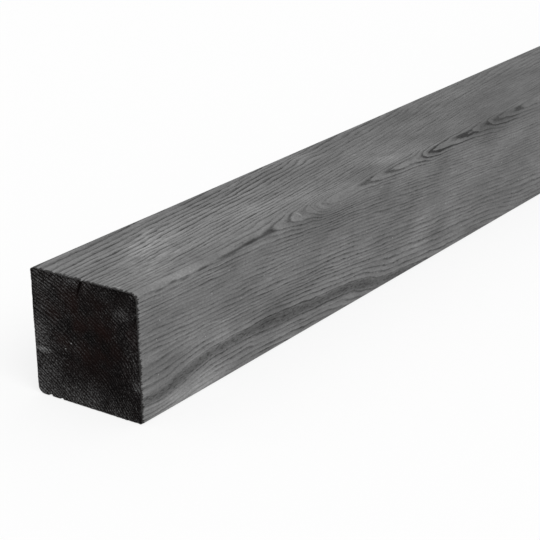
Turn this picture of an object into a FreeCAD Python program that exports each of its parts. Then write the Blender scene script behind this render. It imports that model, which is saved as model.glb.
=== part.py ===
"""Treated timber post: one planed, square, pressure-treated softwood post, lying on its underside.

Frame, in millimetres: +Z up, +Y along the post, +X across it. The origin is the centre of the
underside, so the post stands on Z = 0 and runs the same distance each way along Y.

The post is one sawn and planed piece of wood. Its section is a rectangle whose four long corners,
the arrises, are eased by different amounts: two opposite ones are well rounded and the other two
are only just broken. Both ends are plain square cuts.
"""

import FreeCAD, Part
import os

import Sketcher

# Driving dimensions: (alias in the sheet, millimetres, what it is).
SIZES = [
    ("post_width", 90.0, "across the post, along X"),
    ("post_height", 90.0, "underside to top face, along Z"),
    ("post_length", 1800.0, "end cut to end cut, along Y"),
    ("round_top_right", 5.0, "radius of the rounded arris at +X, +Z"),
    ("round_bottom_left", 5.5, "radius of the rounded arris at -X, underside"),
    ("broken_top_left", 2.0, "radius of the broken arris at -X, +Z"),
    ("broken_bottom_right", 1.5, "radius of the broken arris at +X, underside"),
]

# The section's corners, going round from the underside at -X:
# (radius alias, side of the post in X, 1 at the top and 0 at the underside).
CORNERS = [
    ("round_bottom_left", -1, 0),
    ("broken_bottom_right", 1, 0),
    ("round_top_right", 1, 1),
    ("broken_top_left", -1, 1),
]

# Ends of a drawn line or arc, as the sketcher numbers them.
START, END, CENTRE = 1, 2, 3
ORIGIN_POINT = (-1, 1)


def make_sheet(doc):
    """The spreadsheet of driving dimensions, one row for each, with its alias beside it."""
    sheet = doc.addObject("Spreadsheet::Sheet", "Sizes")
    for row, (alias, value, meaning) in enumerate(SIZES, start=1):
        sheet.set(f"A{row}", alias)
        sheet.set(f"B{row}", str(value))
        sheet.set(f"C{row}", meaning)
        sheet.setAlias(f"B{row}", alias)
    doc.recompute()
    return sheet


def origin_plane(body, role):
    """One of the body's own three base planes, by its role."""
    return next(feature for feature in body.Origin.OriginFeatures if feature.Role == role)


def corner_arc(sheet, corner):
    """The quarter arc that rounds one corner of the section, at its size in the sheet."""
    alias, side, level = corner
    radius = float(sheet.get(alias))
    up = 1 if level else -1
    centre = FreeCAD.Vector(
        side * (float(sheet.get("post_width")) / 2 - radius),
        level * float(sheet.get("post_height")) - up * radius,
        0,
    )
    quarter = {(-1, -1): 2, (1, -1): 3, (1, 1): 0, (-1, 1): 1}[(side, up)]
    circle = Part.Circle(centre, FreeCAD.Vector(0, 0, 1), radius)
    right_angle = 1.5707963267948966
    return Part.ArcOfCircle(circle, quarter * right_angle, (quarter + 1) * right_angle)


def draw_section(body, sheet):
    """The planed section: four sides with a tangent arc at each corner, fully tied to the sheet."""
    sketch = body.newObject("Sketcher::SketchObject", "PlanedSection")
    sketch.AttachmentSupport = (origin_plane(body, "XZ_Plane"), [""])
    sketch.MapMode = "FlatFace"

    arcs = [sketch.addGeometry(corner_arc(sheet, corner), False) for corner in CORNERS]
    sides = []
    for this, after in zip(arcs, arcs[1:] + arcs[:1]):
        line = Part.LineSegment(
            sketch.Geometry[this].EndPoint,
            sketch.Geometry[after].StartPoint,
        )
        sides.append(sketch.addGeometry(line, False))

    for index, side in enumerate(sides):
        after = arcs[(index + 1) % len(arcs)]
        sketch.addConstraint(Sketcher.Constraint("Tangent", arcs[index], END, side, START))
        sketch.addConstraint(Sketcher.Constraint("Tangent", side, END, after, START))
    underside, right_side, top_side, left_side = sides
    for level_side in (underside, top_side):
        sketch.addConstraint(Sketcher.Constraint("Horizontal", level_side))
    for upright_side in (right_side, left_side):
        sketch.addConstraint(Sketcher.Constraint("Vertical", upright_side))

    def driven(name, expression, *constraint):
        """A dimension of the section that a formula on the sheet's cells sets."""
        place = sketch.addConstraint(Sketcher.Constraint(*constraint))
        sketch.renameConstraint(place, name)
        sketch.setExpression(f"Constraints.{name}", expression)

    for arc, (alias, _side, _level) in zip(arcs, CORNERS):
        driven(alias, f"Sizes.{alias}", "Radius", arc, float(sheet.get(alias)))
    half_width = float(sheet.get("post_width")) / 2
    height = float(sheet.get("post_height"))
    driven("height", "Sizes.post_height", "DistanceY", underside, END, top_side, START, height)
    driven(
        "half_width_right",
        "Sizes.post_width / 2",
        "DistanceX",
        *ORIGIN_POINT,
        right_side,
        START,
        half_width,
    )
    driven(
        "half_width_left",
        "Sizes.post_width / 2",
        "DistanceX",
        left_side,
        START,
        *ORIGIN_POINT,
        half_width,
    )
    sketch.addConstraint(Sketcher.Constraint("PointOnObject", underside, START, -1))
    return sketch


def make_post(doc, sheet):
    """The whole post: its section run out to its length, half each way from the origin."""
    body = doc.addObject("PartDesign::Body", "post")
    body.Label = "post"
    section = draw_section(body, sheet)
    run = body.newObject("PartDesign::Pad", "RunOfTimber")
    run.Profile = section
    run.SideType = "Symmetric"
    run.setExpression("Length", "Sizes.post_length")
    section.Visibility = False
    body.Placement = FreeCAD.Placement()
    return body


def check_document(doc, bodies):
    """Stops the build if any object of the document failed, or a body has no sound solid."""
    for item in doc.Objects:
        if "Invalid" in item.State or "Error" in item.State:
            raise RuntimeError(f"{item.Label} failed to compute: {item.State}")
    for body in bodies:
        shape = body.Shape
        if shape.isNull() or not shape.isValid() or len(shape.Solids) != 1:
            raise RuntimeError(f"{body.Label} is not one sound solid")


def main():
    """Builds the document, checks it and writes each sub-part to parts/."""
    doc = FreeCAD.newDocument("TreatedTimberPost")
    sheet = make_sheet(doc)
    bodies = [make_post(doc, sheet)]
    doc.recompute()
    check_document(doc, bodies)

    os.makedirs("parts", exist_ok=True)
    for body in bodies:
        body.Shape.exportStep(os.path.join("parts", f"{body.Label}.step"))
        box = body.Shape.BoundBox
        print(
            f"{body.Label}: {box.XLength:.1f} x {box.YLength:.1f} x {box.ZLength:.1f} mm,"
            f" {body.Shape.Volume / 1e6:.3f} litres, lowest {box.ZMin:.3f}"
        )


main()
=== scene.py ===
"""Looks of a treated timber post: one length of planed softwood, pressure treated with grey pigment.

The post is sawn from one side of a log. Its growth rings are long, slightly wandering shells
round a pith that lies outside the section, below and to the left of it. Every finish and the
raised grain itself are cut from that one solid figure, so a ring that shows on the end cut
carries on over the arrises and along the planed faces, as it does in wood.

Lengths are in millimetres in the classes, and in metres in Blender.
"""

from __future__ import annotations

import logging
import math
from dataclasses import dataclass, field

import bpy
import numpy as np
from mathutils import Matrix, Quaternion, Vector

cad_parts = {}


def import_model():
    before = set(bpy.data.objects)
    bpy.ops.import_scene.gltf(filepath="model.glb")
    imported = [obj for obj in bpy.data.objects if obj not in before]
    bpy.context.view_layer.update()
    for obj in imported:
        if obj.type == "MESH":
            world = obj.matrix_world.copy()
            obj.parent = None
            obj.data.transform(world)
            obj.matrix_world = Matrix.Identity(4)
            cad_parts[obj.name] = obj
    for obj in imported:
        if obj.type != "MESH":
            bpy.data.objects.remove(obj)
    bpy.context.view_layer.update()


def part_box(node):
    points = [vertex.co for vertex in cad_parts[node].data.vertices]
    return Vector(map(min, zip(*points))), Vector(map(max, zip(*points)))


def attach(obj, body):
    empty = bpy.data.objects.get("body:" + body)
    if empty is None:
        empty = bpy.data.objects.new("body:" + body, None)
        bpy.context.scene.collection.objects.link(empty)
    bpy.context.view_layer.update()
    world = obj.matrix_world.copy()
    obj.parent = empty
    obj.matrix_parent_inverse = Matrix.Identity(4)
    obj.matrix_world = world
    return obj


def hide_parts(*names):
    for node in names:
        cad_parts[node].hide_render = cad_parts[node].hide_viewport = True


MM = 0.001
PER_METRE = 1000.0
NODE = "post"
BODY = "root"

log = logging.getLogger("post")

Node = bpy.types.Node
Tree = bpy.types.NodeTree
Pair = tuple[float, float]
Triple = tuple[float, float, float]
Stops = tuple[Pair, ...]

# The share of X, Y and Z that counts for a distance in the section.
SECTION = (1.0, 0.0, 1.0)
# In millimetres: two places this near are one, an edge this straight runs along the post, and
# one this long is still to be divided.
SAME_PLACE = 0.01
STRAIGHT = 0.2
LONG_EDGE = 100.0
# The section's outline from the middle of the underside, round and back to it.
HALF_SIDES = 8.0


# ---------------------------------------------------------------------------------- the tools


def linear(code: str) -> tuple[float, float, float, float]:
    """Turns an sRGB hex colour into the linear one that a shader takes.

    Args:
        code: six hex digits, red, green and blue.

    Returns:
        Linear red, green and blue, and an alpha of 1.
    """
    channels = [int(code[start : start + 2], 16) / 255 for start in (0, 2, 4)]
    straight = [c / 12.92 if c <= 0.04045 else ((c + 0.055) / 1.055) ** 2.4 for c in channels]
    return (*straight, 1.0)


def add(
    tree: Tree,
    kind: str,
    feeds: tuple | dict[int | str, object] = (),
    stops: Stops = (),
    **settings: object,
) -> Node:
    """Adds one node to a tree, with its settings, its ramp or curve, and what feeds it.

    Args:
        tree: the material's or the modifier's node tree.
        kind: the node's type name, less the ShaderNode that most of them start with.
        feeds: for each input, in order or by place or name, a node or socket to link or a value.
        stops: the places and values of a ramp, or the points of a curve.
        **settings: the node's own properties.

    Returns:
        The new node.
    """
    whole = kind.startswith(("Geometry", "Node"))
    node = tree.nodes.new(kind if whole else f"ShaderNode{kind}")
    for name, value in settings.items():
        setattr(node, name, value)
    for place, feed in feeds.items() if isinstance(feeds, dict) else enumerate(feeds):
        if isinstance(feed, Node):
            feed = next(out for out in feed.outputs if out.enabled)
        if isinstance(feed, bpy.types.NodeSocket):
            tree.links.new(feed, node.inputs[place])
        else:
            node.inputs[place].default_value = feed
    if stops and hasattr(node, "color_ramp"):
        marks = node.color_ramp.elements
        while len(marks) < len(stops):
            marks.new(0.5)
        for mark, (place, shade) in zip(marks, stops):
            mark.position = place
            mark.color = linear(shade) if isinstance(shade, str) else (shade, shade, shade, 1.0)
    elif stops:
        points = node.mapping.curves[0].points
        while len(points) < len(stops):
            points.new(0.5, 0.5)
        for point, place in zip(points, stops):
            point.location = place
            point.handle_type = "AUTO_CLAMPED"
        node.mapping.update()
    return node


def choose(piece: bpy.types.Object, part: str, chosen: np.ndarray | None = None) -> None:
    """Opens a piece in edit mode with some of its vertices, edges or faces selected.

    Args:
        piece: the mesh object.
        part: "vertices", "edges" or "polygons".
        chosen: one truth value for each of them, or None for all.
    """
    bpy.ops.object.select_all(action="DESELECT")
    piece.select_set(True)
    bpy.context.view_layer.objects.active = piece
    parts = ("vertices", "edges", "polygons")
    bpy.context.tool_settings.mesh_select_mode = [part == each for each in parts]
    for each in parts:
        group = getattr(piece.data, each)
        flags = np.zeros(len(group), bool)
        if each == part:
            flags[:] = True if chosen is None else chosen
        group.foreach_set("select", flags)
    bpy.ops.object.mode_set(mode="EDIT")


def edit_done() -> None:
    """Goes back to object mode, which writes the edits into the mesh."""
    bpy.ops.object.mode_set(mode="OBJECT")


def read(parts: object, name: str, kind: type, width: int = 1) -> np.ndarray:
    """Reads one property of all of a mesh's vertices, edges, faces or corners.

    Args:
        parts: the mesh's list of them.
        name: the property's name.
        kind: the type of its numbers.
        width: how many numbers it has for each.

    Returns:
        The numbers, with a row for each where there is more than one.
    """
    found = np.empty(len(parts) * width, kind)
    parts.foreach_get(name, found)
    return found.reshape(-1, width) if width > 1 else found


def places(piece: bpy.types.Object) -> np.ndarray:
    """Gives the places of a piece's vertices.

    Args:
        piece: the mesh object.

    Returns:
        One row for each vertex, in millimetres.
    """
    return read(piece.data.vertices, "co", np.float32, 3).astype(float) * PER_METRE


def edge_ends(piece: bpy.types.Object) -> tuple[np.ndarray, np.ndarray]:
    """Gives the places of both ends of each of a piece's edges.

    Args:
        piece: the mesh object.

    Returns:
        One row for each edge's first end and one for its second, in millimetres.
    """
    pairs = read(piece.data.edges, "vertices", np.int32, 2)
    where = places(piece)
    return where[pairs[:, 0]], where[pairs[:, 1]]


def between(ends: Pair, share: np.ndarray) -> np.ndarray:
    """Gives what lies between two ends, at shares of the way from the first."""
    return ends[0] + (ends[1] - ends[0]) * share


def blank_material(name: str) -> tuple[bpy.types.Material, Tree]:
    """Makes a material with an empty node tree.

    Args:
        name: its name.

    Returns:
        The material and its tree.
    """
    made = bpy.data.materials.new(name)
    made.use_nodes = True
    made.node_tree.nodes.clear()
    return made, made.node_tree


def apart(tree: Tree, place: Node, centre: object, share: Triple, turn: float = 0.0) -> Node:
    """Adds the nodes that give how far a point lies from a centre.

    Args:
        tree: the tree to build in.
        place: the point, in millimetres.
        centre: the centre, or the node that gives it.
        share: how much each axis counts.
        turn: how far those axes are turned about the vertical, in degrees.

    Returns:
        The node that gives the distance.
    """
    off = add(tree, "VectorMath", (place, centre), operation="SUBTRACT")
    if turn:
        feeds = {"Vector": off, "Angle": math.radians(-turn)}
        off = add(tree, "VectorRotate", feeds, rotation_type="Z_AXIS")
    off = add(tree, "VectorMath", (off, share), operation="MULTIPLY")
    return add(tree, "VectorMath", (off,), operation="LENGTH")


# ----------------------------------------------------------------------------------- the wood


@dataclass(frozen=True)
class Mottle:
    """A soft random pattern in the wood.

    Attributes:
        cell: the size of one of its blotches along each axis.
        detail: how many finer layers it has.
        roughness: how strong those layers are.
        window: the stretch of the bare pattern that is used.
        gives: the values at the two ends of that stretch.
    """

    cell: Triple
    detail: float = 2.0
    roughness: float = 0.5
    window: Pair = (0.25, 0.75)
    gives: Pair = (0.0, 1.0)

    def noise(self, tree: Tree, seat: Node) -> Node:
        """Adds the bare pattern, which runs from 0 to 1 about a mean of one half.

        Args:
            tree: the tree to build in.
            seat: the point that it is read at, in millimetres.

        Returns:
            The noise node.
        """
        share = tuple(1 / size for size in self.cell)
        scaled = add(tree, "VectorMath", (seat, share), operation="MULTIPLY")
        feeds = {"Vector": scaled, "Scale": 1.0, "Detail": self.detail, "Roughness": self.roughness}
        return add(tree, "TexNoise", feeds)

    def ranged(self, tree: Tree, noise: Node) -> Node:
        """Adds the node that turns the bare pattern into the values that it gives.

        Args:
            tree: the tree to build in.
            noise: the bare pattern.

        Returns:
            The node that gives the values.
        """
        low, high = self.window
        least, most = self.gives
        return add(tree, "MapRange", (noise, low, high, least, most))

    def nodes(self, tree: Tree, seat: Node) -> Node:
        """Adds the bare pattern and turns it into the values that it gives.

        Args:
            tree: the tree to build in.
            seat: the point that it is read at, in millimetres.

        Returns:
            The node that gives the values.
        """
        return self.ranged(tree, self.noise(tree, seat))


@dataclass(frozen=True)
class Patch:
    """A soft-edged patch of the wood where its figure or its tone differs.

    Attributes:
        centre: its middle, with Y measured from the near end cut.
        reach: how far it goes from there, along its own axes.
        turn: how far its axes are turned about the vertical, in degrees.
        tone: how much lighter the wood is there, as a share.
        push: how far it pushes the growth rings in, towards the pith.
        bold: how much bolder the ring lines are there, as a share.
    """

    centre: Triple
    reach: Triple
    turn: float = 0.0
    # tone: how much lighter the wood is coloured there, as a share; the darker far part of the top and
    # right-hand faces is painted shade.
    tone: float = 0.0
    push: float = 0.0
    bold: float = 0.0


@dataclass(frozen=True)
class Figure:
    """The nodes that carry the wood's figure through a tree.

    Attributes:
        place: the point, in millimetres.
        along: its distance from the near end cut.
        grown: its distance from the pith, as the rings count it.
        swept: how far round the rings it lies.
        line: how much dense, dark latewood shows, from 0 to about 1.
        stripe: how much the one broad dark ring shows, from 0 to 1.
        lift: how much lighter the patches make it, as a share.
    """

    place: Node
    along: Node
    grown: Node
    swept: Node
    line: Node
    stripe: Node
    lift: Node


@dataclass(frozen=True)
class Log:
    """The softwood log that the post was sawn from, which gives the grain its figure.

    A slow-grown northern softwood puts on about 2.2 mm a year. The pith wanders along the
    length, so the rings run out through the upper right arris and leave nested tongues there.

    Attributes:
        near_end: Y of the post's near end cut.
        length: how much of the log the post takes.
        pith: X and Z of the pith at the near end.
        runout: how far the pith has moved away from the post, at distances along it.
        runout_way: the direction it moves in, in the section.
        sweep_way: the direction that runs round the rings, in the middle of the section.
        ring: the mean width of a growth ring.
        first: where in its ring the arris starts, in rings.
        warps: broad sweep, wavy grain and the wobble of single rings, each as its size
            across the grain, its size along it and how far it moves the rings.
        warp_detail: how many finer layers each of them has.
        years: over how much growth good and poor years follow each other.
        drift: how far they move the rings out.
        latewood: how dense the wood is through one ring, from 0 to 1.
        faintest: the strength of the faintest ring's latewood, of 1.
        dark_ring: the radius of a broad dark ring, half its width, and its darkness.
        dark_core: the share of that half width which is fully dark.
        curl: where a knot just outside the post has curled the rings, and how far.
        curls: how those curls run.
        crown: how much further out the rings lie beside one arris, at distances along it.
        crown_at: X and Z of that arris, and how far the crown reaches from it.
        core: the share of a patch's reach over which it has its full weight.
        patches: places where the figure or the tone differs.
    """

    near_end: float
    length: float
    pith: Pair = (-101.0, -95.0)
    runout: Stops = (
        (0, 0), (100, 2.5), (200, 6), (300, 11), (400, 16.5), (540, 24),
        (760, 31), (1000, 30), (1300, 18), (1550, 10), (1800, 14),
    )
    runout_way: Triple = (-0.66, 0, -0.75)
    sweep_way: Triple = (0.7, 0, -0.7)
    ring: float = 2.2
    first: float = -0.57
    warps: tuple[Triple, ...] = (
        (52, 300, 8), (15, 62, 2.8), (5, 19, 1.1), (1, 14, 0.9),
    )
    warp_detail: float = 1.2
    years: float = 12.0
    drift: float = 2.5
    latewood: Stops = (
        (0, 0), (0.30, 0.03), (0.58, 0.30), (0.78, 1), (0.90, 0.95), (0.97, 0.15), (1, 0),
    )
    faintest: float = 0.55
    dark_ring: Triple = (188.5, 3.1, 0.54)
    dark_core: float = 0.3
    curl: Patch = Patch(centre=(2, 60, 90), reach=(20, 62, 16), turn=38.0, push=1.0)
    curls: Mottle = Mottle(cell=(6, 13, 6), detail=1.0)
    crown: Stops = (
        (0, 1.2), (20, 0.8), (40, 0.3), (60, -0.3), (80, -1.1), (100, -1.1),
        (120, -1.5), (130, -1.7), (140, -2.5), (150, -2.4), (180, 0.1), (200, 1.4),
        (222, 5.6), (240, 4.8), (277, 3.7), (300, 3.8), (314, 4), (340, 2.5),
        (365, 3.6), (392, 3.2), (406, 3.8), (425, 3.2), (452, 2.5), (464, 4.5),
        (517, 4.9), (620, 2.6), (900, 3), (1200, 2), (1800, 0),
    )
    crown_at: Triple = (45, 90, 20)
    core: float = 0.2
    patches: tuple[Patch, ...] = ()

    def figure(self, tree: Tree, seat: object) -> Figure:
        """Builds the figure's nodes in a shader tree or a geometry tree.

        Args:
            tree: the tree to build in.
            seat: the node or socket that gives the point, in metres.

        Returns:
            The nodes that carry the figure.
        """
        place = add(tree, "VectorMath", {0: seat, "Scale": PER_METRE}, operation="SCALE")
        split = add(tree, "SeparateXYZ", (place,))
        along = add(tree, "Math", (split.outputs["Y"], self.near_end), operation="SUBTRACT")
        swept = add(tree, "VectorMath", (place, self.sweep_way), operation="DOT_PRODUCT")
        radius, lift, bold = self.patched_nodes(tree, place, self.radius_nodes(tree, place, along))

        weight = self.patch_nodes(tree, place, self.curl)
        curls = add(tree, "Math", (self.curls.noise(tree, place), 0.5), operation="SUBTRACT")
        curls = add(tree, "Math", (curls, weight), operation="MULTIPLY")
        radius = add(tree, "Math", (curls, self.curl.push, radius), operation="MULTIPLY_ADD")
        crown = self.crown_nodes(tree, place, along)
        radius = add(tree, "Math", (radius, crown), operation="ADD")

        # Good and poor years: the rings run wider for a while, and then narrower.
        years = add(tree, "Math", (radius, 1 / self.years), operation="MULTIPLY")
        drift = add(tree, "TexNoise", {"W": years, "Scale": 1.0, "Detail": 1.0}, noise_dimensions="1D")
        grown = add(tree, "Math", (drift, self.drift, radius), operation="MULTIPLY_ADD")
        count = add(tree, "Math", (grown, 1 / self.ring, self.first), operation="MULTIPLY_ADD")
        phase = add(tree, "Math", (count,), operation="FRACT")
        year = add(tree, "Math", (count,), operation="FLOOR")

        # Pale earlywood darkens slowly through the year, and dark latewood ends it sharply.
        profile = add(tree, "ValToRGB", (phase,), stops=self.latewood)
        chance = add(tree, "TexWhiteNoise", {"W": year}, noise_dimensions="1D")
        feeds = (chance.outputs["Value"], 1 - self.faintest, self.faintest)
        strength = add(tree, "Math", feeds, operation="MULTIPLY_ADD")
        strength = add(tree, "Math", (strength, bold), operation="MULTIPLY")
        line = add(tree, "Math", (profile, strength), operation="MULTIPLY")

        middle, half, darkness = self.dark_ring
        off = add(tree, "Math", (radius, middle), operation="SUBTRACT")
        off = add(tree, "Math", (off,), operation="ABSOLUTE")
        feeds = (off, half * self.dark_core, half, darkness, 0.0)
        stripe = add(tree, "MapRange", feeds, interpolation_type="SMOOTHSTEP")
        return Figure(place, along, grown, swept, line, stripe, lift)

    def radius_nodes(self, tree: Tree, place: Node, along: Node) -> Node:
        """Adds the nodes that give how far a point lies from the pith, once the rings are bent.

        Args:
            tree: the tree to build in.
            place: the point, in millimetres.
            along: its distance from the near end cut.

        Returns:
            The node that gives the distance.
        """
        out = self.curve_nodes(tree, along, self.runout)
        way = add(tree, "CombineXYZ", (out, out, out))
        feeds = (way, self.runout_way, (self.pith[0], 0.0, self.pith[1]))
        pith = add(tree, "VectorMath", feeds, operation="MULTIPLY_ADD")
        warped = place
        for across, run, reach in self.warps:
            noise = Mottle(cell=(across, run, across), detail=self.warp_detail).noise(tree, place)
            feeds = (noise.outputs["Color"], (0.5, 0.5, 0.5))
            centred = add(tree, "VectorMath", feeds, operation="SUBTRACT")
            feeds = (centred, (reach, 0.0, reach), warped)
            warped = add(tree, "VectorMath", feeds, operation="MULTIPLY_ADD")
        return apart(tree, warped, pith, SECTION)

    def patched_nodes(self, tree: Tree, place: Node, radius: Node) -> tuple[Node, Node, Node]:
        """Adds up what all the patches do.

        Args:
            tree: the tree to build in.
            place: the point, in millimetres.
            radius: its distance from the pith.

        Returns:
            That distance with the pushes, how much lighter the wood is, and the rings' boldness.
        """
        lift = add(tree, "Math", (0.0, 0.0), operation="ADD")
        bold = add(tree, "Math", (0.0, 1.0), operation="ADD")
        sums = {"push": radius, "tone": lift, "bold": bold}
        for patch in self.patches:
            weight = self.patch_nodes(tree, place, patch)
            for name, whole in sums.items():
                share = getattr(patch, name)
                if share:
                    sums[name] = add(tree, "Math", (weight, share, whole), operation="MULTIPLY_ADD")
        return sums["push"], sums["tone"], sums["bold"]

    def curve_nodes(self, tree: Tree, along: Node, stops: Stops) -> Node:
        """Adds a smooth curve of distances along the post.

        Args:
            tree: the tree to build in.
            along: the distance from the near end cut.
            stops: what the curve gives, at distances along the post.

        Returns:
            The node that gives what the curve gives, in millimetres.
        """
        least = min(value for _, value in stops)
        span = max(value for _, value in stops) - least
        points = tuple((at / self.length, (value - least) / span) for at, value in stops)
        share = add(tree, "Math", (along, 1 / self.length), operation="MULTIPLY")
        curve = add(tree, "FloatCurve", {"Value": share}, stops=points)
        return add(tree, "Math", (curve, span, least), operation="MULTIPLY_ADD")

    def crown_nodes(self, tree: Tree, place: Node, along: Node) -> Node:
        """Adds the nodes that give how much further out the rings lie beside the crowned arris.

        Args:
            tree: the tree to build in.
            place: the point, in millimetres.
            along: its distance from the near end cut.

        Returns:
            The node that gives that distance.
        """
        out = self.curve_nodes(tree, along, self.crown)
        x, z, reach = self.crown_at
        off = apart(tree, place, (x, 0.0, z), SECTION)
        weight = add(tree, "MapRange", (off, 1.0, reach, 1.0, 0.0), interpolation_type="SMOOTHSTEP")
        return add(tree, "Math", (out, weight), operation="MULTIPLY")

    def patch_nodes(self, tree: Tree, place: Node, patch: Patch) -> Node:
        """Adds the nodes that give a patch's weight, 1 in its middle and 0 outside.

        Args:
            tree: the tree to build in.
            place: the point, in millimetres.
            patch: the patch.

        Returns:
            The node that gives the weight.
        """
        x, along, z = patch.centre
        share = tuple(1 / reach for reach in patch.reach)
        off = apart(tree, place, (x, self.near_end + along, z), share, patch.turn)
        return add(tree, "MapRange", (off, self.core, 1.0, 1.0, 0.0), interpolation_type="SMOOTHSTEP")


# ------------------------------------------------------------------------------- the finishes


@dataclass(frozen=True)
class PlanedFace:
    """Planed softwood, pressure treated with grey pigment: matt, with dark latewood lines.

    Soft earlywood takes a thin grey, dense latewood dries darker and stands a little proud,
    and torn pores hold dark flecks that follow the grain.

    Attributes:
        early: the earlywood's colour.
        late: the latewood's colour where it is cut flat.
        fleck: the colour of pigment held in torn pores.
        dust: the colour of the few pale specks.
        soaked: the colour at the ends, where the open grain drank the treatment.
        fade: how a ring line fades and comes back every few centimetres.
        streaks: fibre streaks, a millimetre wide and centimetres long, that follow the rings.
        tooth: the planer's fine tooth and dried pigment, about a millimetre across.
        clouds: broad clouds of thicker and thinner pigment.
        dashes: short dark dashes where torn pores hold pigment, on the latewood lines.
        scuff: where another post slid over this one.
        rubbed: the pale rubbed dashes that this left along the grain.
        wicked: how far in from each end cut the treatment has wicked.
        wick_edge: how softly that ends, and its strength.
        specks: how far apart the pale specks could lie, how large they get and how pale they are.
        bare: the share of those places that have none.
        relief: how far latewood stands proud, in the bump.
        fibre: the height of the fibres' fine texture, in the bump.
        roughness: how matt the face is.
        sheen: how much less matt the dense latewood is.
        refraction: wood's index of refraction.
        gloss: how much of it shows, where a half is all.
    """

    early: str = "777777"
    late: str = "333333"
    fleck: str = "222222"
    dust: str = "C4C4C4"
    soaked: str = "141211"
    fade: Mottle = Mottle(cell=(7, 42, 7), window=(0.32, 0.66), gives=(0.38, 0.98))
    streaks: Mottle = Mottle(cell=(1.1, 24, 4.5), detail=3.0, roughness=0.6, gives=(0.78, 1.22))
    tooth: Mottle = Mottle(cell=(1, 1.9, 1), roughness=0.6, gives=(0.80, 1.20))
    clouds: Mottle = Mottle(cell=(26, 60, 26), detail=3.0, roughness=0.55, gives=(0.74, 1.26))
    dashes: Mottle = Mottle(cell=(1.1, 4, 1.1), detail=1.0, window=(0.52, 0.66))
    scuff: Patch = Patch(centre=(0, 70, 90), reach=(28, 84, 12), turn=38.0)
    rubbed: Mottle = Mottle(
        cell=(2.4, 15, 9), roughness=0.6, window=(0.44, 0.74), gives=(0, 0.40)
    )
    wicked: Mottle = Mottle(cell=(1.3, 5, 1.5), roughness=0.7, window=(0.38, 0.68), gives=(1.2, 3.8))
    wick_edge: Triple = (-0.4, 0.5, 0.92)
    specks: Triple = (9, 0.06, 0.4)
    bare: float = 0.85
    relief: float = 0.12
    fibre: float = 0.10
    roughness: float = 0.78
    sheen: float = 0.12
    refraction: float = 1.45
    gloss: float = 0.25

    def material(self, wood: Log) -> bpy.types.Material:
        """Makes the material.

        Args:
            wood: the log whose figure it shows.

        Returns:
            The material.
        """
        made, tree = blank_material("planed_treated_softwood")
        figure = wood.figure(tree, add(tree, "TexCoord").outputs["Object"])
        place = figure.place

        shown = self.fade.nodes(tree, place)
        line = add(tree, "Math", (figure.line, shown), operation="MULTIPLY", use_clamp=True)
        line = add(tree, "Math", (line, figure.stripe), operation="MAXIMUM")
        feeds = {0: line, 6: linear(self.early), 7: linear(self.late)}
        colour = add(tree, "Mix", feeds, data_type="RGBA")
        shell = add(tree, "CombineXYZ", (figure.grown, figure.along, figure.swept))
        streak = self.streaks.noise(tree, shell)
        tooth = self.tooth.noise(tree, place)
        lifted = add(tree, "Math", (figure.lift, 1.0), operation="ADD")
        tone = self.streaks.ranged(tree, streak)
        for gain in (self.tooth.ranged(tree, tooth), self.clouds.nodes(tree, place), lifted):
            tone = add(tree, "Math", (tone, gain), operation="MULTIPLY")
        colour = add(tree, "VectorMath", {0: colour, "Scale": tone}, operation="SCALE")

        dash = self.dashes.nodes(tree, place)
        dash = add(tree, "Math", (dash, line), operation="MULTIPLY", use_clamp=True)
        weight = wood.patch_nodes(tree, place, self.scuff)
        stroke = self.rubbed.nodes(tree, place)
        stroke = add(tree, "Math", (stroke, weight), operation="MULTIPLY")

        # Within a millimetre or two of each end cut the treatment has wicked in, nearly black.
        half = wood.length / 2
        beyond = add(tree, "Math", (figure.along, half), operation="SUBTRACT")
        beyond = add(tree, "Math", (beyond,), operation="ABSOLUTE")
        inside = add(tree, "Math", (half, beyond), operation="SUBTRACT")
        wick = self.wicked.nodes(tree, shell)
        wick = add(tree, "Math", (wick, inside), operation="SUBTRACT")
        low, high, most = self.wick_edge
        wick = add(tree, "MapRange", (wick, low, high, 0.0, most))
        specks = self.speck_nodes(tree, place)
        coats = ((dash, self.fleck), (specks, self.dust), (stroke, self.dust), (wick, self.soaked))
        for share, tint in coats:
            colour = add(tree, "Mix", {0: share, 6: colour, 7: linear(tint)}, data_type="RGBA")

        # Height in millimetres: proud latewood over the fibres' fine tooth.
        height = add(tree, "Math", (line, self.relief), operation="MULTIPLY")
        for noise in (streak, tooth):
            height = add(tree, "Math", (noise, self.fibre, height), operation="MULTIPLY_ADD")
        bump = add(tree, "Bump", {"Strength": 1.0, "Distance": MM, "Height": height})
        rough = add(tree, "MapRange", {0: line, 3: self.roughness, 4: self.roughness - self.sheen})
        feeds = {"Base Color": colour, "Roughness": rough, "Normal": bump}
        feeds |= {"IOR": self.refraction, "Specular IOR Level": self.gloss}
        shader = add(tree, "BsdfPrincipled", feeds)
        add(tree, "OutputMaterial", (shader,))
        return made

    def speck_nodes(self, tree: Tree, place: Node) -> Node:
        """Adds a few pale specks of dust and dried salt, under a millimetre across.

        Args:
            tree: the tree to build in.
            place: the point, in millimetres.

        Returns:
            The node that gives how much of a speck shows.
        """
        every, largest, shown = self.specks
        speck = add(tree, "TexVoronoi", {"Vector": place, "Scale": 1 / every, "Randomness": 1.0})
        chance = add(tree, "SeparateColor", (speck.outputs["Color"],))
        # Most places have none: only the highest draws get a size above nought.
        bound = add(tree, "MapRange", (chance.outputs[0], self.bare, 1.0, 0.0, largest))
        inside = add(tree, "Math", (speck.outputs["Distance"], bound), operation="LESS_THAN")
        return add(tree, "Math", (inside, shown), operation="MULTIPLY")


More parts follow.
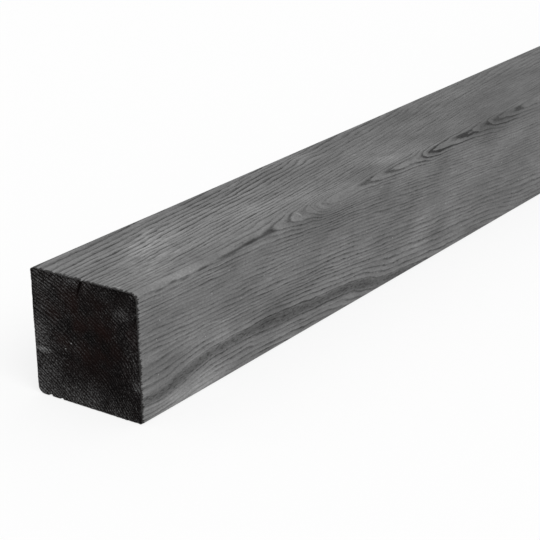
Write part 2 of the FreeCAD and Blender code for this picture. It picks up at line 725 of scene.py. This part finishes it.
@dataclass(frozen=True)
class Check:
    """A drying check: a fine crack that opens from the outline of the near end cut.

    Attributes:
        start: X and Z of where it opens.
        stop: X and Z of where it closes.
        width: how wide it is where it opens.
        depth: how deep it is, in the mesh.
        wobble: how its line wavers.
        sway: how far it wavers, from side to side.
        lips: where it starts and stops to close sideways, as shares of its width.
        full: the share of its length over which it is fully open.
    """

    start: Pair = (-0.9, 90.0)
    stop: Pair = (-5.4, 77.0)
    width: float = 1.5
    depth: float = 0.7
    wobble: Mottle = Mottle(cell=(4, 4, 4), detail=1.0)
    sway: float = 1.6
    lips: Pair = (0.25, 0.6)
    full: float = 0.6

    def nodes(self, tree: Tree, place: Node) -> Node:
        """Adds the nodes that are 1 inside the check and 0 away from it.

        Args:
            tree: the tree to build in.
            place: the point, in millimetres.
        """
        run = Vector((self.stop[0] - self.start[0], 0.0, self.stop[1] - self.start[1]))
        down = tuple(run.normalized())
        across = (-down[2], 0.0, down[0])
        start = (self.start[0], 0.0, self.start[1])
        offset = add(tree, "VectorMath", (place, start), operation="SUBTRACT")
        depth = add(tree, "VectorMath", (offset, down), operation="DOT_PRODUCT")
        side = add(tree, "VectorMath", (offset, across), operation="DOT_PRODUCT")
        feeds = (self.wobble.noise(tree, place), self.sway, side)
        side = add(tree, "Math", feeds, operation="MULTIPLY_ADD")
        side = add(tree, "Math", (side, self.sway / 2), operation="SUBTRACT")
        side = add(tree, "Math", (side,), operation="ABSOLUTE")
        inner, outer = (self.width * lip for lip in self.lips)
        wide = add(tree, "MapRange", (side, inner, outer, 1.0, 0.0))
        deep = add(tree, "MapRange", (depth, run.length * self.full, run.length, 1.0, 0.0))
        return add(tree, "Math", (wide, deep), operation="MULTIPLY")


@dataclass(frozen=True)
class SawnEnd:
    """Crosscut end grain: it drinks the treatment, so it is nearly black, and stays rough.

    Attributes:
        stops: the colours of the saw-torn grain, from its pits to the fibres that catch light: partly the
            grain's own tone, and partly painted shade in the pits and painted highlights on the fibres.
        rust: the faint warm cast of the wood in the middle, where less pigment reached.
        grit_and_painted_light: the torn grain, drawn about three times as coarse as real, so that it
            shows; through the stops its low places are painted as shade and its high ones as highlights.
        rows: the rows of cells, as their size with the rings and across them.
        row_gain: how strongly the rows show.
        clouds: broad zones that took more or less pigment.
        sunk: how much darker the latewood lines are.
        zones: greyer places on the near end cut, and two grains of dried salt.
        warmth: where the warm cast shows.
        warm: how it comes and goes there.
        check: the drying check in the near end cut.
        saw: the height of the torn grain, in the bump.
        roughness: how matt it is.
        gloss: how much of wood's shine shows, where a half is all.
    """

    stops: tuple[tuple[float, str], ...] = (
        (0.28, "050404"), (0.40, "0E0B0B"), (0.50, "201D1D"), (0.60, "3C3B3B"), (0.72, "626262"),
        (0.90, "8C8C8C"),
    )
    rust: str = "25130F"
    grit_and_painted_light: Mottle = Mottle(cell=(1.1, 1.1, 1.1), detail=3.0, roughness=0.75)
    rows: Mottle = Mottle(cell=(1, 4.5, 1), detail=3.0)
    row_gain: float = 0.25
    clouds: Mottle = Mottle(cell=(24, 24, 24), window=(0.3, 0.7), gives=(-0.085, 0.065))
    sunk: float = 0.26
    zones: tuple[Patch, ...] = (
        Patch(centre=(-45, 0, 36), reach=(34, 12, 62), tone=0.11),
        Patch(centre=(-8, 0, 0), reach=(66, 12, 38), tone=0.11),
        Patch(centre=(-20, 0, 90), reach=(32, 12, 22), tone=0.08),
        Patch(centre=(-38, 0, 33), reach=(12, 12, 3), tone=0.16),
        Patch(centre=(43, 0, 26), reach=(6, 12, 7), tone=0.12),
        Patch(centre=(33, 0, 73), reach=(12, 12, 6), tone=0.08),
        Patch(centre=(22, 0, 55), reach=(42, 12, 42), tone=-0.04),
        Patch(centre=(-12.6, 0, 43.3), reach=(0.9, 12, 0.8), tone=0.8),
        Patch(centre=(-17.7, 0, 38.3), reach=(0.9, 12, 0.6), tone=0.7),
    )
    warmth: Patch = Patch(centre=(2, 0, 56), reach=(60, 12, 44))
    warm: Mottle = Mottle(cell=(14, 14, 14), detail=4.0, window=(0.42, 0.70), gives=(0, 0.5))
    check: Check = Check()
    shadow: float = 0.9
    saw: float = 0.6
    roughness: float = 0.92
    gloss: float = 0.05

    def material(self, wood: Log) -> bpy.types.Material:
        """Makes the material from the log's figure.

        Args:
            wood: the log whose figure it shows.

        Returns:
            The material.
        """
        made, tree = blank_material("sawn_treated_end_grain")
        figure = wood.figure(tree, add(tree, "TexCoord").outputs["Object"])
        place = figure.place

        shell = add(tree, "CombineXYZ", (figure.grown, figure.swept))
        rows = add(tree, "Math", (self.rows.noise(tree, shell), 0.5), operation="SUBTRACT")
        grit_and_painted_light = self.grit_and_painted_light.noise(tree, place)
        clouds = self.clouds.nodes(tree, place)
        height = add(tree, "Math", (grit_and_painted_light, clouds), operation="ADD")
        gains = [(rows, self.row_gain), (figure.line, -self.sunk)]
        gains += [(wood.patch_nodes(tree, place, patch), patch.tone) for patch in self.zones]
        gains += [(self.check.nodes(tree, place), -self.shadow)]
        for source, gain in gains:
            height = add(tree, "Math", (source, gain, height), operation="MULTIPLY_ADD")
        # The ramp gives the grain its own tone, and also paints shade into its low places and highlights
        # onto its high ones.
        colour = add(tree, "ValToRGB", (height,), stops=self.stops)
        warm = self.warm.nodes(tree, place)
        weight = wood.patch_nodes(tree, place, self.warmth)
        warm = add(tree, "Math", (warm, weight), operation="MULTIPLY")
        colour = add(tree, "Mix", {0: warm, 6: colour, 7: linear(self.rust)}, data_type="RGBA")
        bump = add(tree, "Bump", {"Strength": 1.0, "Distance": self.saw * MM, "Height": height})
        feeds = {"Base Color": colour, "Roughness": self.roughness, "Normal": bump}
        shader = add(tree, "BsdfPrincipled", feeds | {"Specular IOR Level": self.gloss})
        add(tree, "OutputMaterial", (shader,))
        return made


# ----------------------------------------------------------------------------------- the post


@dataclass(frozen=True)
class Arris:
    """One long corner of the section: its side in X, its level in Z, and how it is eased."""

    right: bool
    top: bool
    radius: float


@dataclass(frozen=True)
class Dent:
    """A nick or a torn place: its middle, with Y from the near end, its reach and its depth."""

    centre: Triple
    reach: Triple
    depth: float


@dataclass
class Post:
    """The post itself: planed, eased, sawn off at both ends and raised by the treatment.

    Attributes:
        low: the CAD node's lowest corner.
        high: its highest corner.
        grain: the log that it was sawn from.
        arrises: how its four long corners are eased.
        least_facets: how many facets the sharpest arris would get.
        facets: how many more an arris gets for each millimetre of its radius.
        strip: how wide a strip of its surface is.
        end_rows: how far from each end cut the rows of smaller cells lie.
        run_cuts: how often the long run between them is divided, and divided again.
        weld: how near two corners of cells are to be one.
        waves: how far shrinkage has pulled the planed faces in, in broad waves.
        tears: how deep the saw tore the end arrises.
        tear_reach: how far from the end arris it tore them.
        rim: how far inside the outline the end cut starts and stops to be counted as inner.
        exit_run: X plus Z, from where the saw tore least to where it tore most.
        exit_least: how much of the tearing there is where it tore least.
        sawn: how rough the end cuts are.
        skin: how far in from an end cut the mesh still counts as on it.
        end_zone: how far in from an end cut its finish and its check can reach.
        end_facing: how squarely a cell of the end cuts faces along the post.
        crease: the angle between two cells, in degrees, from which their edge looks sharp.
        dents: nicks in it.
        side_u: where the planed faces lie in the UV map's width.
        side_v: where they lie in its height.
        cut_u: where the end cuts lie in its width.
        cut_v: where the near end cut lies in its height, and the far one half a map above.
        piece: the Blender object.
    """

    low: Vector
    high: Vector
    grain: Log
    arrises: tuple[Arris, ...] = (
        Arris(right=True, top=True, radius=5),
        Arris(right=False, top=False, radius=5.5),
        Arris(right=False, top=True, radius=2),
        Arris(right=True, top=False, radius=1.5),
    )
    least_facets: int = 2
    facets: float = 1.4
    strip: float = 0.75
    end_rows: tuple[float, ...] = (0.4, 0.9, 1.6, 3.0, 6.0, 12.0)
    run_cuts: tuple[int, int] = (9, 9)
    weld: float = 0.12
    waves: Mottle = Mottle(cell=(22, 110, 22), detail=0.0, window=(0, 1), gives=(0, 0.35))
    tears: Mottle = Mottle(cell=(1.7, 1.7, 1.7), roughness=0.7, window=(0.36, 0.68), gives=(0, 0.8))
    tear_reach: float = 2.4
    rim: Pair = (1.5, 4.5)
    exit_run: Pair = (-10.0, 90.0)
    exit_least: float = 0.15
    sawn: Mottle = Mottle(cell=(1.3, 1.3, 1.3), roughness=0.7, window=(0, 1), gives=(0, 0.35))
    skin: float = 0.05
    end_zone: float = 3.0
    end_facing: float = 0.62
    crease: float = 50.0
    dents: tuple[Dent, ...] = (
        Dent(centre=(-34, 0, 0), reach=(1.9, 2.5, 1.9), depth=1.9),
        Dent(centre=(-24, 0, 0), reach=(1.6, 2, 1.6), depth=1.2),
    )
    side_u: Pair = (0.005, 0.845)
    side_v: Pair = (0.005, 0.995)
    cut_u: Pair = (0.86, 0.995)
    cut_v: Pair = (0.005, 0.495)
    piece: bpy.types.Object = field(init=False)

    def rough_out(self) -> None:
        """Adds the squared timber and eases its four long arrises."""
        bpy.ops.object.select_all(action="DESELECT")
        middle = (self.low + self.high) / 2 * MM
        size = (self.high - self.low) * MM
        bpy.ops.mesh.primitive_cube_add(size=1.0, calc_uvs=False, location=middle, scale=size)
        self.piece = bpy.context.object
        self.piece.name = "planed_post"
        bpy.ops.object.transform_apply(location=True, rotation=True, scale=True)
        for arris in self.arrises:
            x = self.high.x if arris.right else self.low.x
            z = self.high.z if arris.top else self.low.z
            one, other = edge_ends(self.piece)
            off = np.abs(np.hstack([one[:, [0, 2]], other[:, [0, 2]]]) - (x, z, x, z))
            choose(self.piece, "edges", off.max(axis=1) < SAME_PLACE)
            segments = self.least_facets + round(arris.radius * self.facets)
            bpy.ops.mesh.bevel(offset=arris.radius * MM, segments=segments, profile=0.5, affect="EDGES")
            edit_done()

    def cut_strips(self) -> None:
        """Cuts the surface into strips and cells fine enough to carry the raised grain."""
        choose(self.piece, "vertices")
        for axis, way in ((0, (1.0, 0.0, 0.0)), (2, (0.0, 0.0, 1.0))):
            size = self.high[axis] - self.low[axis]
            strips = round(size / self.strip)
            for number in range(1, strips):
                at = (self.low[axis] + size * number / strips) * MM
                bpy.ops.mesh.select_all(action="SELECT")
                bpy.ops.mesh.bisect(plane_co=[at * part for part in way], plane_no=way)
        for row in self.end_rows:
            for at in (self.low.y + row, self.high.y - row):
                bpy.ops.mesh.select_all(action="SELECT")
                bpy.ops.mesh.bisect(plane_co=(0.0, at * MM, 0.0), plane_no=(0.0, 1.0, 0.0))
        bpy.ops.mesh.select_all(action="SELECT")
        bpy.ops.mesh.remove_doubles(threshold=self.weld * MM)
        edit_done()

        # The long run between the two ends' last rows is divided into long cells, and those again.
        for cuts in self.run_cuts:
            one, other = edge_ends(self.piece)
            run = np.abs(one - other)
            straight = run[:, [0, 2]].max(axis=1) < STRAIGHT
            choose(self.piece, "edges", straight & (run[:, 1] > LONG_EDGE))
            bpy.ops.mesh.subdivide(number_cuts=cuts)
            edit_done()

    def raise_grain(self) -> None:
        """Pulls the faces into slight waves, tears the end arrises and roughens the end cuts.

        All of it goes inwards, and is only what the cells can carry: the bump holds single rings.
        """
        group = bpy.data.node_groups.new("raised_grain", "GeometryNodeTree")
        for way in ("INPUT", "OUTPUT"):
            group.interface.new_socket("Geometry", in_out=way, socket_type="NodeSocketGeometry")
        come = add(group, "NodeGroupInput")
        figure = self.grain.figure(group, add(group, "GeometryNodeInputPosition"))
        place = figure.place

        # How far inside the outline a point is, and how far from the nearer end cut.
        middle = tuple((self.low + self.high) / 2)
        half = tuple((self.high - self.low) / 2)
        centred = add(group, "VectorMath", (place, middle), operation="SUBTRACT")
        centred = add(group, "VectorMath", (centred,), operation="ABSOLUTE")
        inside = add(group, "VectorMath", (half, centred), operation="SUBTRACT")
        inside = add(group, "SeparateXYZ", (inside,))
        from_cut = inside.outputs["Y"]
        rim = add(group, "Math", (inside.outputs["X"], inside.outputs["Z"]), operation="MINIMUM")
        outer, inner = self.rim
        rim = add(group, "MapRange", (rim, outer, inner, 0.0, inner - outer))
        deep = add(group, "Math", (rim, from_cut), operation="ADD")
        edge = add(group, "MapRange", (deep, 0.0, self.tear_reach, 1.0, 0.0))

        # The saw came out at the upper right, and tore the soft earlywood most there.
        exit_side = add(group, "VectorMath", (place, SECTION), operation="DOT_PRODUCT")
        start, stop = self.exit_run
        exit_side = add(group, "MapRange", (exit_side, start, stop, self.exit_least, 1.0))
        tear = self.tears.nodes(group, place)
        tear = add(group, "Math", (tear, exit_side), operation="MULTIPLY")
        on_cut = add(group, "MapRange", (from_cut, 0.0, self.skin, 1.0, 0.0))
        check = SawnEnd().check
        near_cut = add(group, "Math", (figure.along, self.end_zone), operation="LESS_THAN")
        crack = check.nodes(group, place)
        crack = add(group, "Math", (crack, near_cut), operation="MULTIPLY")

        depth = self.waves.nodes(group, place)
        gains = [(tear, edge), (self.sawn.nodes(group, place), on_cut), (crack, check.depth)]
        for dent in self.dents:
            patch = Patch(centre=dent.centre, reach=dent.reach)
            gains.append((self.grain.patch_nodes(group, place, patch), dent.depth))
        for source, gain in gains:
            depth = add(group, "Math", (source, gain, depth), operation="MULTIPLY_ADD")

        inward = add(group, "Math", (depth, -MM), operation="MULTIPLY")
        facing = add(group, "GeometryNodeInputNormal")
        offset = add(group, "VectorMath", {0: facing, "Scale": inward}, operation="SCALE")
        moved = add(group, "GeometryNodeSetPosition", {0: come, "Offset": offset})
        add(group, "NodeGroupOutput", (moved,))
        raised = self.piece.modifiers.new("raised_grain", "NODES")
        raised.node_group = group
        bpy.ops.object.modifier_apply(modifier=raised.name)
        bpy.data.node_groups.remove(group)

    def dress(self) -> None:
        """Gives the planed faces and the end cuts their finishes."""
        mesh = self.piece.data
        mesh.materials.clear()
        mesh.materials.append(PlanedFace().material(self.grain))
        mesh.materials.append(SawnEnd().material(self.grain))
        facing = read(mesh.polygons, "normal", np.float32, 3)[:, 1]
        along = read(mesh.polygons, "center", np.float32, 3)[:, 1] * PER_METRE
        near_end = np.minimum(along - self.low.y, self.high.y - along) < self.end_zone
        at_end = near_end & (np.abs(facing) > self.end_facing)
        mesh.polygons.foreach_set("material_index", at_end.astype(np.int32))
        bpy.ops.object.shade_smooth_by_angle(angle=math.radians(self.crease))

    def unwrap(self) -> None:
        """Lays the piece's own UV map: the planed faces unrolled, and the two end cuts beside them.

        U runs along the planed faces and V round them, from the middle of the underside, so that
        the texture spends its detail across the grain.
        """
        mesh = self.piece.data
        corners = read(mesh.loops, "vertex_index", np.int32)
        sizes = read(mesh.polygons, "loop_total", np.int32)
        first = np.repeat(np.cumsum(sizes) - sizes, sizes)
        on_cut = np.repeat(read(mesh.polygons, "material_index", np.int32), sizes) == 1
        half = np.array((self.high - self.low) / 2)
        off = (places(self.piece)[corners] - np.array((self.high + self.low) / 2)) / half
        across, along, up = off.T

        # Round the section in half sides: none at the middle of the underside, four at the top's.
        on_right = across >= np.abs(up)
        on_left = -across >= np.abs(up)
        level = np.where(on_right | on_left, across, up)
        slant = np.where(on_right | on_left, up, -across) / level
        turn = slant + np.select([on_right, up > np.abs(across), on_left], [2.0, 4.0, 6.0], HALF_SIDES)
        turn = turn % HALF_SIDES

        # A cell at the seam keeps all its corners on the side that its first one is on.
        apart_by = turn - turn[first] + HALF_SIDES / 2
        turn = turn[first] + apart_by % HALF_SIDES - HALF_SIDES / 2

        # Each end cut is laid as it is seen from outside, the near one below the far one.
        cut_u = between(self.cut_u, (1 - across * np.sign(along)) / 2)
        cut_v = between(self.cut_v, (up + 1) / 2) + np.where(along > 0, 0.5, 0.0)
        spread = np.empty((len(corners), 2), np.float32)
        spread[:, 0] = np.where(on_cut, cut_u, between(self.side_u, (along + 1) / 2))
        spread[:, 1] = np.where(on_cut, cut_v, between(self.side_v, turn / HALF_SIDES))
        mesh.uv_layers.new(name="OFBake").uv.foreach_set("vector", spread.ravel())

    def build(self) -> bpy.types.Object:
        """Makes the whole post and seats it in the frame.

        Returns:
            The finished piece.
        """
        self.rough_out()
        self.cut_strips()
        self.raise_grain()
        self.dress()
        self.unwrap()
        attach(self.piece, BODY)
        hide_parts(NODE)
        return self.piece


# --------------------------------------------------------------------------------- the studio


@dataclass
class Studio:
    """A plain white floor, soft light and the camera.

    Attributes:
        low: the post's lowest corner.
        high: its highest corner.
        azimuth: how far the camera stands to the right of the post's own line, in degrees.
        elevation: how far it looks down, in degrees.
        roll: how far its right side tips down, in degrees.
        distance: how far it stands from the point it looks at.
        from_near_end: where along the right-hand face that point is.
        above_floor: how high up that face it is.
        lens: the focal length.
        sensor: the width of the film behind it.
        clip: how near and how far the camera sees, in metres.
        key: the key light's strength.
        key_spread: how broad the key light is, in degrees.
        key_way: the way that it shines.
        sky: how strongly the world lights the post.
        floor_size: the floor's width, in metres.
        floor_gap: how far below the post it lies.
        card: the floor's colour.
        glow: how strongly it glows to the camera, and the share of it that does.
    """

    low: Vector
    high: Vector
    azimuth: float = 36.15
    elevation: float = 21.10
    roll: float = 1.14
    distance: float = 1151.5
    from_near_end: float = 141.9
    above_floor: float = 60.7
    lens: float = 111.2
    sensor: float = 36.0
    clip: Pair = (0.05, 50.0)
    key: float = 1.35
    key_spread: float = 35.0
    key_way: Triple = (-0.82, 0.35, -0.90)
    sky: float = 0.62
    floor_size: float = 30.0
    floor_gap: float = 0.3
    card: str = "E6E6E6"
    glow: Pair = (1.1, 0.7)

    def camera(self) -> None:
        """Aims the camera at the right-hand face, a little way from the near end."""
        aim = Vector((self.high.x, self.low.y + self.from_near_end, self.above_floor))
        turn = math.radians(self.azimuth)
        rise = math.radians(self.elevation)
        back = Vector((math.sin(turn) * math.cos(rise), -math.cos(turn) * math.cos(rise), math.sin(rise)))
        bpy.ops.object.camera_add(location=(aim + back * self.distance) * MM)
        camera = bpy.context.object
        camera.rotation_mode = "QUATERNION"
        level = (-back).to_track_quat("-Z", "Y")
        camera.rotation_quaternion = level @ Quaternion((0.0, 0.0, 1.0), -math.radians(self.roll))
        camera.data.lens = self.lens
        camera.data.sensor_width = self.sensor
        camera.data.clip_start, camera.data.clip_end = self.clip
        bpy.context.scene.camera = camera

    def lights(self) -> None:
        """Sets a broad, soft key light at the upper right, and an even white world."""
        bpy.ops.object.light_add(type="SUN")
        key = bpy.context.object
        key.data.energy = self.key
        key.data.angle = math.radians(self.key_spread)
        key.rotation_mode = "QUATERNION"
        key.rotation_quaternion = Vector(self.key_way).to_track_quat("-Z", "Y")
        world = bpy.data.worlds.new("studio")
        bpy.context.scene.world = world
        world.use_nodes = True
        tree = world.node_tree
        tree.nodes.clear()
        path = add(tree, "LightPath").outputs
        seen = path["Is Camera Ray"]
        for ray in ("Is Glossy Ray", "Is Transmission Ray"):
            seen = add(tree, "Math", (seen, path[ray]), operation="MAXIMUM")
        strength = add(tree, "MapRange", {0: seen, 3: self.sky, 4: 1.0})
        back = add(tree, "Background", {"Color": linear("FFFFFF"), "Strength": strength})
        add(tree, "OutputWorld", (back,))

    def floor(self) -> None:
        """Lays a white floor, which stays white to the camera apart from the post's shadow."""
        level = (self.low.z - self.floor_gap) * MM
        bpy.ops.mesh.primitive_plane_add(size=self.floor_size, location=(0.0, 0.0, level))
        floor = bpy.context.object
        floor.name = "floor"
        made, tree = blank_material("white_card")
        strength, share = self.glow
        card = add(tree, "BsdfDiffuse", {"Color": linear(self.card)})
        glow = add(tree, "Emission", {"Color": linear("FFFFFF"), "Strength": strength})
        path = add(tree, "LightPath").outputs
        share = add(tree, "Math", (path["Is Camera Ray"], share), operation="MULTIPLY")
        both = add(tree, "MixShader", (share, card, glow))
        add(tree, "OutputMaterial", (both,))
        floor.data.materials.append(made)

    def build(self) -> None:
        """Sets up the whole studio."""
        bpy.context.scene.view_settings.view_transform = "Standard"
        self.camera()
        self.lights()
        self.floor()


# Where the figure or the tone of this post differs from the rest of it.
PATCHES = (
    # The run-out is quicker towards the upper right arris, and latewood is cut flat there.
    Patch(centre=(45, 620, 90), reach=(58, 560, 58), push=9.6),
    Patch(centre=(45, 620, 90), reach=(13, 560, 13), push=-2.6),
    Patch(centre=(45, 190, 90), reach=(24, 56, 20), bold=-0.2),
    # One latewood edge shows as a thin, broken dark streak just under that arris.
    Patch(centre=(45, 142, 88.2), reach=(5, 14, 3.4), tone=-0.6),
    Patch(centre=(45, 121, 87.4), reach=(4, 24, 1.9), tone=-0.85),
    Patch(centre=(45, 97, 86.6), reach=(4, 20, 1.6), tone=-0.7),
    Patch(centre=(45, 68, 85.8), reach=(4, 9, 1.4), tone=-0.6),
    Patch(centre=(45, 49, 84.8), reach=(4, 7, 1.3), tone=-0.5),
    Patch(centre=(45, 38, 86.6), reach=(4, 6, 1.2), tone=-0.5),
    Patch(centre=(45, 24, 85.4), reach=(4, 8, 1.2), tone=-0.5),
    Patch(centre=(45, 420, 90), reach=(10, 190, 10), tone=-0.10, bold=1.3),
    # Painted shade: the far part of the right-hand face is painted darker, for the light that falls off
    # towards the far end, and its ring lines are fainter there.
    Patch(centre=(45, 600, 60), reach=(90, 440, 100), tone=-0.10, bold=-0.42),
    # Bolder ring lines along the far part of the upper right arris.
    Patch(centre=(45, 1150, 90), reach=(12, 800, 12), bold=1.4),
    # A knot that the saw just missed leaves paler wood and bolder lines on the top face.
    Patch(centre=(2, 60, 90), reach=(15, 66, 20), turn=38.0, tone=0.22),
    Patch(centre=(0, 95, 90), reach=(60, 170, 30), tone=0.24),
    Patch(centre=(-20, 90, 90), reach=(55, 190, 30), bold=0.45),
    Patch(centre=(-15, 225, 90), reach=(56, 130, 30), bold=0.45),
    Patch(centre=(-30, 290, 90), reach=(14, 24, 14), push=1.3),
    # Painted shade: the far part of the top face is painted darker, for the light that falls off towards
    # the far end, and its ring lines are fainter there.
    Patch(centre=(-15, 640, 90), reach=(75, 540, 40), tone=-0.22, bold=-0.15),
    # Paler and darker places on the right half of the top face.
    Patch(centre=(27, 322, 90), reach=(13, 20, 14), tone=0.24),
    Patch(centre=(36, 366, 90), reach=(8, 24, 8), tone=0.16),
    Patch(centre=(35, 490, 90), reach=(34, 80, 14), tone=-0.16),
    # Small knocks and scratches, which show pale.
    Patch(centre=(-14, 67, 90), reach=(3, 7, 3), turn=20.0, tone=0.4),
    Patch(centre=(18, 75, 90), reach=(2.4, 7, 3), turn=20.0, tone=0.35),
    Patch(centre=(27, 4, 90), reach=(4.5, 3, 3), tone=0.5),
    Patch(centre=(42, 182, 90), reach=(6, 1.3, 4), turn=12.0, tone=0.7),
    Patch(centre=(45, 286, 81), reach=(3, 4, 1.6), tone=0.35),
    Patch(centre=(-1, 319, 90), reach=(2.6, 4, 3), tone=0.35),
    Patch(centre=(13, 371, 90), reach=(1.4, 5, 2), tone=0.35),
    # The right-hand face: blotchy low down, darker below the tongues, and two pale upright bands.
    Patch(centre=(45, 30, 50), reach=(20, 110, 70), bold=-0.25),
    Patch(centre=(45, 60, 5), reach=(20, 64, 12), tone=0.36, bold=-0.5),
    Patch(centre=(45, 285, 1), reach=(20, 40, 8), tone=0.22),
    Patch(centre=(45, 190, 78), reach=(20, 90, 14), tone=-0.14),
    Patch(centre=(45, 345, 35), reach=(20, 20, 56), tone=0.15),
    Patch(centre=(45, 392, 40), reach=(20, 16, 50), tone=0.07),
    Patch(centre=(45, 0, 14), reach=(30, 84, 34), push=5.5),
    Patch(centre=(45, 150, 12), reach=(40, 150, 36), push=-3.5),
    Patch(centre=(45, 340, 5), reach=(30, 110, 28), push=3.0),
)


def main() -> None:
    """Loads the frame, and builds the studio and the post."""
    logging.basicConfig(level=logging.INFO, format="%(name)s: %(message)s")
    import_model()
    low, high = (Vector(corner) * PER_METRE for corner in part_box(NODE))
    Studio(low, high).build()
    grain = Log(near_end=low.y, length=high.y - low.y, patches=PATCHES)
    piece = Post(low, high, grain).build()
    log.info("%s: %d faces", piece.name, len(piece.data.polygons))


if __name__ == "__main__":
    main()
